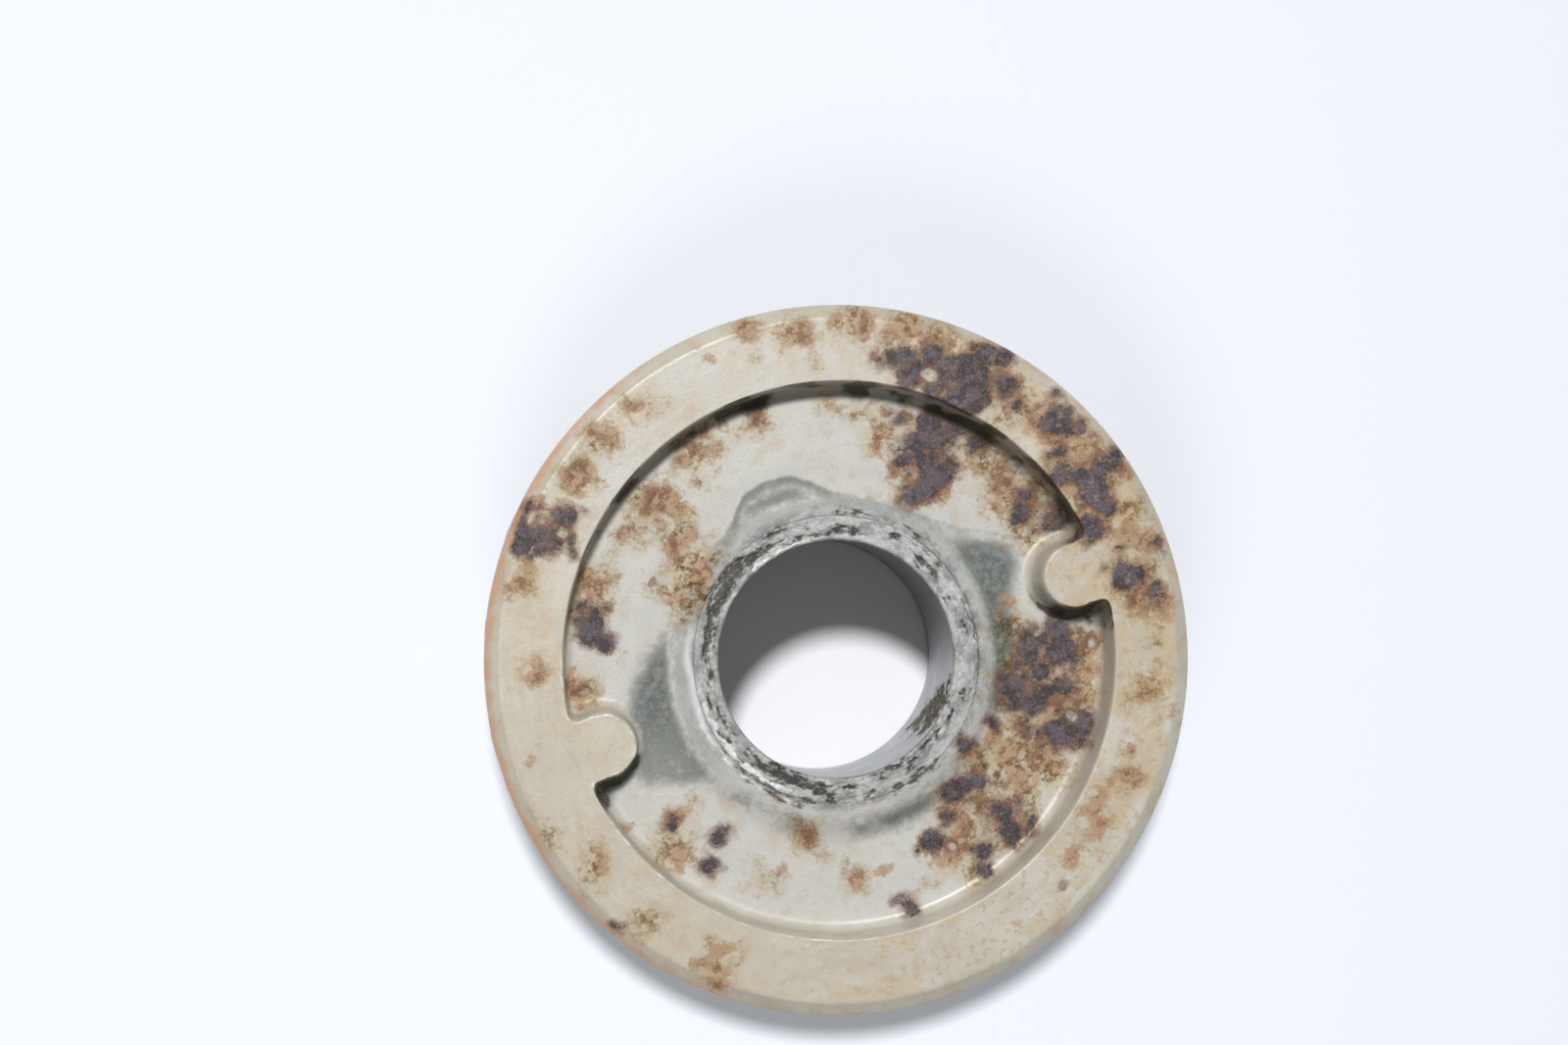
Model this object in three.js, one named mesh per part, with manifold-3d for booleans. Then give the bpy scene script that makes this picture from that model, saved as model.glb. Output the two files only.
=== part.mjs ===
// Thrust hub of a boat propeller: a cast flange with a recessed face, two drive lugs
// and a low collar in the recess, and a plain sleeve pressed into its bore.
// Millimetres. The bore axis is Z, the rear end face is at z = 0 and the recessed face
// looks along +Z. The two lugs lie on the X axis.

import * as THREE from 'three';
import { mergeVertices } from 'three/addons/utils/BufferGeometryUtils.js';
import Module from 'manifold-3d';

// Driving dimensions.
const BORE_LENGTH = 18;           // rear end face to the worn land around the bore
const LAND_DROP = 4;              // the land lies this far below the rim's face
const FLANGE_RADIUS = 39;
const FLANGE_THICKNESS = 9;
const RIM_EDGE = { width: 1.3, height: 1.0 };   // rounded outer edge of the rim's face
const REAR_EDGE_RADIUS = 1.6;
const SIDE_DRAFT = 0.25;          // the flange side leans in by this much towards the rear

const RECESS_RADIUS = 30.6;       // at the rim's face
const WALL_DRAFT = 0.45;          // how far the recess wall leans in, down to its fillet
const FOOT_FILLET = 1.2;

const COLLAR_HEIGHT = 0.8;        // the land above the recess floor
const COLLAR_EDGE_RADIUS = 16.3;  // where the land's edge starts to slope to the floor
const COLLAR_FOOT_RADIUS = 18.6;
const BOSS_RADIUS = 20.6;         // at the rear end
const BOSS_DRAFT = 0.8;
const BOSS_CHAMFER = 0.8;
const BOSS_FILLET = 2.2;
const UNDERSIDE_RISE = 0.6;       // the flange's rear surface falls towards the rim

const SLEEVE_OUTER_RADIUS = 15.9;
const SLEEVE_BORE_RADIUS = 13.15;
const SLEEVE_REAR_CHAMFER = 0.8;
const SLEEVE_FRONT_EDGE = 0.25;
const FIT_GAP = 0.3;              // between the sleeve and the casting

const LUG = {
  headRadius: 3.5,
  headCentre: 27.6,               // distance from the bore axis
  neckHalfWidth: 3.5,
  rootHalfWidth: 4.7,             // where the sides run out into the recess wall
  rootStart: 29.6,
  rootEnd: 30.9,
  buriedEnd: 33.5,                // inside the rim
};

// Facets.
const TURN_SEGMENTS = 72;
const ARC_STEPS = 4;
const SLOPE_STEPS = 4;
const HEAD_STEPS = 12;

const LAND_Z = BORE_LENGTH;
const FACE_Z = LAND_Z + LAND_DROP;
const FLOOR_Z = LAND_Z - COLLAR_HEIGHT;
const BACK_Z = FACE_Z - FLANGE_THICKNESS;

const wasm = await Module();
wasm.setup();

// Points on a quarter ellipse about a centre, from one angle in degrees to another.
function arc(centreR, centreZ, width, height, fromDeg, toDeg) {
  const points = [];
  for (let i = 0; i <= ARC_STEPS; i += 1) {
    const angle = THREE.MathUtils.degToRad(fromDeg + ((toDeg - fromDeg) * i) / ARC_STEPS);
    const r = centreR + width * Math.cos(angle);
    const z = centreZ + height * Math.sin(angle);
    points.push(new THREE.Vector2(r, z));
  }
  return points;
}

// The collar's side, from its foot on the recess floor up to the land, as an S-curve.
function collarSlope() {
  const points = [];
  for (let i = 0; i <= SLOPE_STEPS; i += 1) {
    const t = i / SLOPE_STEPS;
    const r = THREE.MathUtils.lerp(COLLAR_FOOT_RADIUS, COLLAR_EDGE_RADIUS, t);
    const z = FLOOR_Z + COLLAR_HEIGHT * THREE.MathUtils.smoothstep(t, 0, 1);
    points.push(new THREE.Vector2(r, z));
  }
  return points;
}

// A solid of revolution about Z from a closed half section of (radius, height) points.
function turned(profile) {
  const closed = [...profile, profile[0].clone()];
  const geometry = new THREE.LatheGeometry(closed, TURN_SEGMENTS);
  geometry.rotateX(Math.PI / 2);
  return geometry;
}

function toManifold(geometry) {
  const bare = geometry.clone();
  bare.deleteAttribute('normal');
  bare.deleteAttribute('uv');
  const merged = mergeVertices(bare, 1e-4);
  const mesh = new wasm.Mesh({
    numProp: 3,
    vertProperties: new Float32Array(merged.attributes.position.array),
    triVerts: new Uint32Array(merged.index.array),
  });
  return new wasm.Manifold(mesh);
}

function toGeometry(solid) {
  const mesh = solid.getMesh();
  const geometry = new THREE.BufferGeometry();
  const positions = new THREE.BufferAttribute(new Float32Array(mesh.vertProperties), 3);
  geometry.setAttribute('position', positions);
  geometry.setIndex(new THREE.BufferAttribute(new Uint32Array(mesh.triVerts), 1));
  geometry.computeVertexNormals();
  return geometry;
}

// The casting's half section, anticlockwise from the rear mouth of its bore.
function castingProfile() {
  const boreRadius = SLEEVE_OUTER_RADIUS + FIT_GAP;
  const sideBottom = FLANGE_RADIUS - SIDE_DRAFT;
  const bossTop = BOSS_RADIUS + BOSS_DRAFT;
  const underside = BACK_Z - UNDERSIDE_RISE;
  const wallFoot = RECESS_RADIUS - WALL_DRAFT;
  return [
    new THREE.Vector2(boreRadius, 0),
    new THREE.Vector2(BOSS_RADIUS - BOSS_CHAMFER, 0),
    new THREE.Vector2(BOSS_RADIUS, BOSS_CHAMFER),
    ...arc(bossTop + BOSS_FILLET, underside - BOSS_FILLET, BOSS_FILLET, BOSS_FILLET, 180, 90),
    ...arc(
      sideBottom - REAR_EDGE_RADIUS,
      BACK_Z + REAR_EDGE_RADIUS,
      REAR_EDGE_RADIUS,
      REAR_EDGE_RADIUS,
      -90,
      0,
    ),
    ...arc(
      FLANGE_RADIUS - RIM_EDGE.width,
      FACE_Z - RIM_EDGE.height,
      RIM_EDGE.width,
      RIM_EDGE.height,
      0,
      90,
    ),
    new THREE.Vector2(RECESS_RADIUS, FACE_Z),
    ...arc(wallFoot - FOOT_FILLET, FLOOR_Z + FOOT_FILLET, FOOT_FILLET, FOOT_FILLET, 0, -90),
    ...collarSlope(),
    new THREE.Vector2(boreRadius, LAND_Z),
  ];
}

// One side of a lug's outline, from the tip to the end buried in the rim. grow is how far
// the outline stands out from the outline at the face.
function lugSide(grow) {
  const points = [];
  const radius = LUG.headRadius + grow;
  for (let i = 0; i <= HEAD_STEPS; i += 1) {
    const angle = Math.PI - (Math.PI / 2) * (i / HEAD_STEPS);
    const x = LUG.headCentre + radius * Math.cos(angle);
    points.push(new THREE.Vector2(x, radius * Math.sin(angle)));
  }
  const rootHalf = LUG.rootHalfWidth + grow;
  points.push(new THREE.Vector2(LUG.rootStart, LUG.neckHalfWidth + grow));
  points.push(new THREE.Vector2(LUG.rootEnd, rootHalf));
  points.push(new THREE.Vector2(LUG.buriedEnd, rootHalf));
  return points;
}

function lugOutline(grow) {
  const upper = lugSide(grow);
  const lower = upper.slice(1).map((p) => new THREE.Vector2(p.x, -p.y));
  return [...upper.reverse(), ...lower];
}

// A closed solid through outlines that all have the same number of points.
function lofted(levels) {
  const count = levels[0].outline.length;
  const positions = [];
  levels.forEach(({ outline, z }) => {
    outline.forEach((p) => positions.push(p.x, p.y, z));
  });
  const index = [];
  for (let level = 0; level < levels.length - 1; level += 1) {
    for (let i = 0; i < count; i += 1) {
      const next = (i + 1) % count;
      const a = level * count + i;
      const b = level * count + next;
      const c = a + count;
      const d = b + count;
      index.push(a, b, d, a, d, c);
    }
  }
  const top = (levels.length - 1) * count;
  THREE.ShapeUtils.triangulateShape(levels[0].outline, []).forEach(([a, b, c]) => {
    index.push(c, b, a);
    index.push(top + a, top + b, top + c);
  });
  const geometry = new THREE.BufferGeometry();
  geometry.setAttribute('position', new THREE.Float32BufferAttribute(positions, 3));
  geometry.setIndex(index);
  return geometry;
}

// A drive lug on +X: level with the rim's face, with drafted sides and a filleted foot.
function lugGeometry() {
  const levels = [
    { grow: 1.5, z: FLOOR_Z - 0.5 },
    { grow: 1.5, z: FLOOR_Z + 0.05 },
    { grow: 0.95, z: FLOOR_Z + 0.3 },
    { grow: WALL_DRAFT, z: FLOOR_Z + FOOT_FILLET },
    { grow: 0, z: FACE_Z },
  ];
  return lofted(levels.map(({ grow, z }) => ({ outline: lugOutline(grow), z })));
}

function castingGeometry() {
  let solid = toManifold(turned(castingProfile()));
  [0, Math.PI].forEach((turn) => {
    const lug = lugGeometry().rotateZ(turn);
    solid = solid.add(toManifold(lug));
  });
  return toGeometry(solid);
}

function sleeveGeometry() {
  return turned([
    new THREE.Vector2(SLEEVE_BORE_RADIUS + SLEEVE_REAR_CHAMFER, 0),
    new THREE.Vector2(SLEEVE_OUTER_RADIUS, 0),
    new THREE.Vector2(SLEEVE_OUTER_RADIUS, LAND_Z),
    new THREE.Vector2(SLEEVE_BORE_RADIUS + SLEEVE_FRONT_EDGE, LAND_Z),
    new THREE.Vector2(SLEEVE_BORE_RADIUS, LAND_Z - SLEEVE_FRONT_EDGE),
    new THREE.Vector2(SLEEVE_BORE_RADIUS, SLEEVE_REAR_CHAMFER),
  ]);
}

function piece(name, geometry, colour, roughness, metalness) {
  const material = new THREE.MeshStandardMaterial({ color: colour, roughness, metalness });
  const mesh = new THREE.Mesh(geometry, material);
  mesh.name = name;
  return mesh;
}

const thrustHub = new THREE.Group();
thrustHub.add(piece('flange_casting', castingGeometry(), 0xcdc8bc, 0.45, 0.6));
thrustHub.add(piece('bore_sleeve', sleeveGeometry(), 0xb9bbb8, 0.4, 0.9));

export default thrustHub;
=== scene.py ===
"""Looks of a corroded propeller thrust hub: a cast flange with a pressed-in bore sleeve.

Both pieces are finished meshes in place of their faceted CAD nodes. Each is a closed grid
around the bore axis. Signed distances to the stains are kept on its vertices, and the
materials break them up with noise, so relief and colour agree. Lengths are in millimetres
until a mesh is made, and Blender gets metres.
"""

import math

import bpy
import numpy as np
from mathutils import Matrix, Vector


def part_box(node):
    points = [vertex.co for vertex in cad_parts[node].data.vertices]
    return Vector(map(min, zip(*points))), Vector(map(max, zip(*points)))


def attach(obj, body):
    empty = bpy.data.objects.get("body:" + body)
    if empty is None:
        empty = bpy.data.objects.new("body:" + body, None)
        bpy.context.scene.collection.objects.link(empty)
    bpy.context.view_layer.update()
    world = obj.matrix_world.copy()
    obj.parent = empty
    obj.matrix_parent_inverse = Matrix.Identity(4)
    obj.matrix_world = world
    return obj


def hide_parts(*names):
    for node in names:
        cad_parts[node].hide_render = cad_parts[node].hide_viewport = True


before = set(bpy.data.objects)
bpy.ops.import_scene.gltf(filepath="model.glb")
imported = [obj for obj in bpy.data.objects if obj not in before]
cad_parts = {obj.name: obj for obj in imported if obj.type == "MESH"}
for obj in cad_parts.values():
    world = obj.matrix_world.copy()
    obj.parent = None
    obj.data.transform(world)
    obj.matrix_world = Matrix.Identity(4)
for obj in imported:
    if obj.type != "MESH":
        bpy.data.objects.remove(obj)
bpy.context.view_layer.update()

MM = 0.001
CASTING_NODE = "flange_casting"
SLEEVE_NODE = "bore_sleeve"
BODY = "root"

# -------- sizes, from the frame

casting_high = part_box(CASTING_NODE)[1]
sleeve_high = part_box(SLEEVE_NODE)[1]
FLANGE_R = casting_high[0] / MM
FACE_Z = casting_high[2] / MM
SLEEVE_R = sleeve_high[0] / MM
LAND_Z = sleeve_high[2] / MM      # the worn land around the bore, below the rim's face

# The other sizes are those of the CAD model, apart from the finer edges and the collar's foot.
FLANGE_THICKNESS = 9.0
BACK_Z = FACE_Z - FLANGE_THICKNESS
RIM_FLAT_R = 37.6                 # the flat face ends here in a crisp crease
SIDE_DRAFT = 0.25
REAR_EDGE_R = 1.6
UNDERSIDE_RISE = 0.6
BOSS_R = 20.6
BOSS_TOP_R = 21.4
BOSS_CHAMFER = 0.8
BOSS_FILLET = 2.2

RECESS_R = 30.6
COLLAR_HEIGHT = 0.8
COLLAR_EDGE_R = 16.3
COLLAR_FOOT_R = 21.0
FLOOR_Z = LAND_Z - COLLAR_HEIGHT
RECESS_DEPTH = FACE_Z - FLOOR_Z
LUG_CENTRE_R = 27.6
LUG_RADIUS = 3.5

BORE_R = 13.15
BORE_REAR_CHAMFER = 0.8
BORE_FRONT_EDGE = 0.3
HOLE_R = SLEEVE_R + 0.02          # the sleeve is a press fit, drawn as a hairline seam
PROUD = 0.06                      # how far crusts and burrs may stand above a face

# The lugs lie on the frame's X axis. The view sees the +X lug this far anticlockwise from
# its own right, and the stains are placed by the angle seen in the view.
LUG_TURN_DEG = 19.5


def turned(angle_deg):
    """The frame's angle, in radians, of an angle seen in the view."""
    return math.radians(angle_deg - LUG_TURN_DEG)


# -------- noise


def lattice(cells, seed):
    """A fixed pseudo-random value from 0 to 1 for each integer cell."""
    x, y, z = (cells[..., k].astype(np.int64) for k in range(3))
    h = (x * 374761393 + y * 668265263 + z * 1440662683 + seed * 974711) & 0xFFFFFFFF
    h = ((h ^ (h >> 13)) * 1274126177) & 0xFFFFFFFF
    h = ((h ^ (h >> 16)) * 2246822519) & 0xFFFFFFFF
    return ((h ^ (h >> 15)) & 0xFFFFFF) / float(0xFFFFFF)


def noise(points, size, seed, octaves=1):
    """Smooth noise from -1 to 1 with features of the given size."""
    total = np.zeros(points.shape[:-1])
    weight, weights = 1.0, 0.0
    for octave in range(octaves):
        p = points / (size * 0.5**octave)
        cell = np.floor(p).astype(np.int64)
        f = p - cell
        f = f * f * (3 - 2 * f)
        value = np.zeros(points.shape[:-1])
        for corner in np.ndindex(2, 2, 2):
            share = np.ones(points.shape[:-1])
            for axis, side in enumerate(corner):
                share = share * (f[..., axis] if side else 1 - f[..., axis])
            value += share * lattice(cell + np.array(corner), seed + 31 * octave)
        total += weight * (2 * value - 1)
        weights += weight
        weight *= 0.5
    return total / weights


def smoothstep(value, low, high):
    """0 at low and 1 at high, smooth between; low may be above high."""
    t = np.clip((value - low) / (high - low), 0.0, 1.0)
    return t * t * (3 - 2 * t)


def band(offset, width):
    """1 where the offset is 0, fading out a few widths to either side."""
    return np.exp(-((offset / width) ** 2))


def polar(points):
    """Distance from the axis, and angle around it in radians."""
    x, y = points[..., 0], points[..., 1]
    return np.hypot(x, y), np.arctan2(y, x)


def from_polar(radius, angle):
    """The x and y of a distance from the axis and an angle around it."""
    return radius * math.cos(angle), radius * math.sin(angle)


def sector(angle, angle_seen, low, high):
    """1 around an angle seen, and 0 away from it, by the cosine of the angle between."""
    return smoothstep(np.cos(angle - turned(angle_seen)), low, high)


def facing(normals, angle_seen):
    """How much normals point towards an angle seen, from -1 to 1."""
    x, y = from_polar(1, turned(angle_seen))
    return normals[..., 0] * x + normals[..., 1] * y


# -------- stains

# All stains are round spots (angle seen, distance from the axis, diameter), placed one by one.
# Noise makes their outlines uneven, and spots that overlap make one lobed stain.

# Purple-brown crusts.
SCABS = [
    # top right of the rim
    (80, 33.6, 2.6), (77, 33.2, 3.6), (76, 31.8, 2.6), (73, 34.7, 2.2), (70, 31.4, 2.4),
    (68, 33.6, 4.4), (65, 34.7, 3.8), (63, 32.4, 3.6), (66, 31.6, 3.0), (64, 37.8, 2.2),
    (61, 38.3, 1.8), (58, 35.1, 2.2), (60, 35.5, 1.4), (55, 34.1, 1.2), (48, 35.6, 3.0),
    (48, 36.8, 1.6), (44, 37.0, 1.8), (43, 32.8, 1.3), (36, 36.8, 2.7), (35, 33.5, 4.2),
    (31, 34.0, 3.2), (39, 31.6, 2.8), (27, 31.3, 3.2),
    # upper right of the recess
    (74, 27.8, 2.2), (68, 28.0, 3.4), (63, 28.1, 2.4), (66, 25.7, 4.6), (71, 25.4, 2.4),
    (71, 23.0, 1.6), (62, 23.6, 4.0), (59, 24.7, 2.2), (64, 21.0, 2.4), (65, 19.2, 2.0),
    (59, 21.8, 1.6), (57, 28.8, 2.0), (38, 26.4, 2.3), (40, 27.8, 1.2), (32, 29.0, 3.0),
    (34, 30.3, 2.4), (27, 30.0, 2.6),
    # right of the rim
    (17, 33.0, 3.2), (15, 33.9, 2.0), (12, 35.8, 1.7), (20, 38.3, 1.4),
    # right of the recess
    (7, 25.2, 3.0), (6, 21.7, 1.6), (2, 26.2, 2.2), (3, 24.6, 2.0), (-6, 25.7, 2.5),
    (-2, 20.4, 1.4), (-9, 19.8, 2.8), (-9, 21.8, 2.6), (-12, 22.8, 3.2), (-14, 20.6, 2.2),
    (-17, 27.7, 4.4), (-14, 28.7, 2.2), (-17, 25.7, 2.2), (-20, 28.3, 1.8), (-20, 22.4, 1.8),
    (-22, 18.8, 1.1), (-33, 17.4, 1.4), (-46, 19.9, 3.3), (-40, 20.8, 1.6), (-43, 25.1, 3.0),
    (-43, 27.4, 2.6), (-40, 28.7, 1.4), (-51, 27.0, 1.9), (-54, 29.0, 1.5), (-54, 21.6, 0.9),
    (-61, 23.2, 2.5), (-73, 28.7, 2.1),
    (-4, 23.0, 1.8), (2, 21.8, 1.6), (-8, 24.0, 1.6), (-1, 24.8, 1.4), (5, 23.2, 1.4),
    # bottom left of the recess, then left of it
    (238, 26.7, 2.2), (239, 27.4, 1.2), (237, 23.3, 1.3), (225, 25.5, 1.5),
    (170, 28.4, 2.9), (174, 27.5, 2.6), (176, 25.6, 1.7), (171, 29.5, 1.4),
    # left of the rim
    (153, 33.8, 2.6), (158, 34.9, 3.2), (159, 37.2, 2.8), (157, 32.6, 1.6), (154, 38.4, 1.9),
    (157, 38.4, 1.9),
    # top of the recess, and lower left edge of the rim
    (107, 29.7, 2.2), (109, 29.9, 1.8), (229, 38.5, 1.2),
]

# Orange-brown patches with no crust.
RUSTS = [
    # rim, from the top round to the lower right
    (91, 37.5, 1.6), (86, 36.8, 2.6), (82, 36.2, 2.8), (78, 37.0, 2.6), (75, 36.0, 2.2),
    (71, 37.2, 1.6), (67, 36.4, 2.0), (60, 35.2, 3.0), (55, 34.6, 2.0), (50, 34.2, 1.8),
    (46, 34.8, 2.6), (44, 38.0, 1.8), (41, 36.8, 2.2), (38, 35.4, 2.4), (43, 32.6, 2.2),
    (33, 37.6, 1.8), (25, 34.8, 2.4), (22, 36.4, 2.6), (20, 37.9, 1.8), (24, 33.4, 1.6),
    (15, 35.4, 2.4), (11, 36.4, 2.4), (12, 33.6, 2.6), (9, 34.4, 1.6), (7, 36.6, 1.2),
    (0, 35.6, 1.1), (-6, 34.0, 2.2), (-8, 37.2, 1.2), (-17, 34.1, 1.3), (-22, 35.0, 2.3),
    (-24, 33.2, 1.2), (-28, 32.8, 1.8), (-32, 32.3, 1.6), (-33, 34.0, 2.6), (-40, 33.2, 1.6),
    (-37, 35.8, 1.2), (-45, 35.2, 1.0), (-56, 35.6, 0.9),
    # rim, from the bottom round to the upper left
    (247, 34.9, 2.1), (246, 36.3, 2.0), (249, 37.6, 2.9), (221, 34.6, 1.4), (196, 35.4, 1.2),
    (182, 33.6, 1.8), (180, 32.6, 1.2), (167, 36.5, 2.4), (164, 35.6, 1.6), (152, 36.8, 1.6),
    (145, 35.3, 3.2), (147, 34.0, 1.8), (137, 35.0, 2.2), (138, 37.0, 1.5), (129, 35.7, 2.2),
    (115, 37.4, 1.2), (106, 37.6, 2.2), (98, 35.4, 2.4), (96, 36.4, 2.0), (101, 34.6, 1.2),
    # upper right of the recess
    (79, 25.8, 2.2), (79, 24.0, 1.6), (72, 22.0, 2.0), (60, 20.6, 2.4), (55, 26.0, 1.8),
    (57, 23.0, 2.0), (45, 27.0, 3.0), (44, 24.3, 1.9), (41, 27.8, 2.6), (48, 28.6, 1.8),
    # right of the recess
    (17, 20.2, 1.5), (3, 28.6, 2.8), (-2, 23.2, 2.2), (-4, 22.2, 2.0), (-2, 28.4, 2.4),
    (-12, 25.4, 2.8), (-9, 29.2, 2.4), (-11, 27.0, 2.2), (-25, 25.8, 3.2), (-29, 22.0, 3.2),
    (-26, 27.7, 1.8), (-34, 25.0, 2.6), (-35, 18.6, 1.8), (-27, 19.6, 1.8), (-53, 23.0, 2.8),
    (-57, 25.0, 3.2), (-62, 25.4, 2.2), (-63, 23.4, 2.0), (-39, 23.4, 1.4),
    # bottom and left of the recess
    (-85, 24.6, 1.4), (-77, 24.3, 0.9), (-99, 19.7, 2.5), (255, 24.8, 1.0), (252, 27.4, 0.9),
    (225, 24.4, 1.8), (232, 28.4, 1.8), (234, 27.1, 1.4), (229, 27.2, 1.2), (218, 29.8, 0.8),
    (186, 28.7, 3.2), (190, 28.9, 1.6), (163, 28.1, 3.3), (161, 29.2, 1.8), (149, 27.5, 1.7),
    (157, 22.0, 1.2), (158, 18.5, 2.2), (147, 17.9, 2.2), (139, 26.4, 3.6), (143, 27.0, 2.2),
    (136, 24.6, 1.6), (145, 21.5, 2.5), (140, 21.4, 1.4), (122, 27.0, 1.7), (128, 27.6, 1.7),
    (125, 29.2, 2.4), (119, 29.4, 2.0), (108, 28.2, 2.0), (91, 28.6, 1.8), (179, 24.1, 0.8),
]

# Yellow-brown haze, like tea spilt around the rust.
TEAS = [
    (87, 37.4, 4.0), (79, 37.2, 4.6), (72, 37.0, 4.4), (66, 36.6, 4.6), (60, 36.2, 5.2),
    (54, 35.0, 5.0), (47, 35.6, 4.8), (43, 33.0, 3.4), (40, 36.6, 4.0), (34, 36.4, 4.2),
    (28, 35.6, 4.6), (22, 36.0, 4.2), (16, 35.2, 4.8), (10, 35.2, 4.2), (4, 35.0, 2.6),
    (-6, 34.6, 3.6), (-22, 34.4, 3.6), (-32, 33.4, 3.6), (79, 25.2, 3.6), (91, 28.0, 2.2),
    (85, 27.8, 2.2), (72, 22.6, 3.0), (59, 26.4, 4.4), (53, 28.2, 4.0), (45, 26.8, 5.0),
    (38, 28.0, 4.8), (33, 26.2, 3.4), (58, 22.2, 3.4), (3, 28.2, 5.0), (-2, 23.4, 4.6),
    (-8, 27.6, 5.4), (-13, 24.4, 6.0), (-20, 25.6, 6.0), (-27, 26.6, 5.6), (-30, 22.6, 6.4),
    (-36, 25.6, 4.8), (-37, 19.8, 4.4), (-45, 22.8, 5.2), (-53, 23.6, 4.8), (-59, 25.6, 4.6),
    (-57, 27.8, 3.0), (-85, 24.6, 2.6), (-99, 19.8, 3.4), (252, 25.6, 2.4), (247, 36.4, 4.4),
    (229, 27.6, 3.6), (226, 24.8, 2.8), (186, 28.6, 4.0), (182, 33.8, 3.4), (168, 28.0, 4.0),
    (162, 28.2, 4.2), (155, 34.8, 4.6), (145, 35.4, 4.8), (137, 36.0, 4.0), (129, 35.8, 3.2),
    (106, 37.2, 3.6), (98, 35.8, 4.2), (140, 26.2, 5.6), (147, 27.0, 3.2), (148, 19.6, 5.0),
    (142, 22.0, 4.0), (157, 19.6, 3.6), (125, 27.6, 3.6), (120, 28.2, 2.6), (127, 24.8, 2.6),
    (108, 28.0, 2.8), (166, 36.6, 3.6), (220, 35.2, 4.0), (232, 35.6, 4.0), (210, 37.4, 2.6),
    (-4, 21.0, 5.0), (4, 25.6, 5.0), (-10, 21.6, 5.6), (-16, 27.6, 5.0), (-22, 22.0, 5.0),
    (-34, 22.4, 5.4), (-40, 26.4, 5.0), (-47, 26.6, 4.6), (-50, 20.6, 4.0), (9, 20.0, 4.0),
    (72, 33.4, 5.4), (64, 33.6, 6.0), (56, 33.2, 4.6), (67, 27.4, 5.0), (64, 24.0, 5.0),
    (35, 33.2, 6.0), (28, 31.8, 5.0), (40, 29.6, 4.0), (13, 33.4, 4.6), (66, 21.0, 3.4),
    (151, 17.4, 4.4), (142, 18.6, 4.0), (160, 18.0, 3.6),
]

# Shallow craters with a clean, light floor. The smallest specks are left out.
PITS = [
    (73, 32.8, 1.9), (-14, 27.6, 1.4), (156, 33.7, 1.4),
    (3, 28.9, 1.1), (-58, 24.9, 1.2), (187, 28.1, 1.1), (-17, 19.7, 0.6), (262, 20.3, 0.6),
    (73, 28.0, 0.8), (129, 35.6, 0.7), (144, 35.3, 0.8), (-45, 35.2, 0.5), (157, 22.0, 0.5),
    (0, 23.6, 0.5), (45, 37.2, 0.5), (116, 28.6, 1.0),
]

# Rubbed zone around the collar: angle seen, how far out it reaches, how dark it is, and how
# dark the line along its edge is.
RUB = [
    (3, 21.2, 1.0, 0.0), (14, 21.6, 1.0, 0.0), (22, 22.6, 0.95, 0.1), (28, 24.4, 0.95, 0.3),
    (33, 24.8, 0.9, 0.3), (38, 22.8, 0.85, 0.4), (45, 20.4, 0.6, 0.5), (55, 18.9, 0.35, 0.5),
    (66, 18.1, 0.15, 0.5), (85, 18.0, 0.15, 0.4), (93, 18.8, 0.6, 0.7), (98, 19.9, 0.9, 0.9),
    (104, 20.9, 0.95, 0.9), (112, 21.2, 0.95, 0.9), (120, 20.8, 0.95, 0.9), (127, 19.2, 0.8, 0.9),
    (132, 18.6, 0.4, 0.6), (150, 18.3, 0.1, 0.1), (163, 18.9, 0.35, 0.1), (172, 20.6, 0.8, 0.1),
    (182, 22.6, 1.0, 0.1), (192, 24.8, 0.95, 0.1), (204, 27.4, 0.72, 0.1), (213, 26.6, 0.62, 0.1),
    (218, 23.8, 0.66, 0.2), (223, 21.2, 0.6, 0.3), (231, 19.6, 0.4, 0.4), (240, 18.8, 0.05, 0.4),
    (256, 18.5, 0.0, 0.3), (266, 19.3, 0.2, 0.1), (275, 20.4, 0.5, 0.0), (284, 20.6, 0.6, 0.0),
    (290, 20.9, 0.85, 0.0), (299, 20.8, 0.9, 0.0), (306, 20.2, 0.8, 0.0), (313, 19.4, 0.5, 0.0),
    (328, 19.0, 0.45, 0.0), (345, 20.6, 0.9, 0.0),
]

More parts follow.
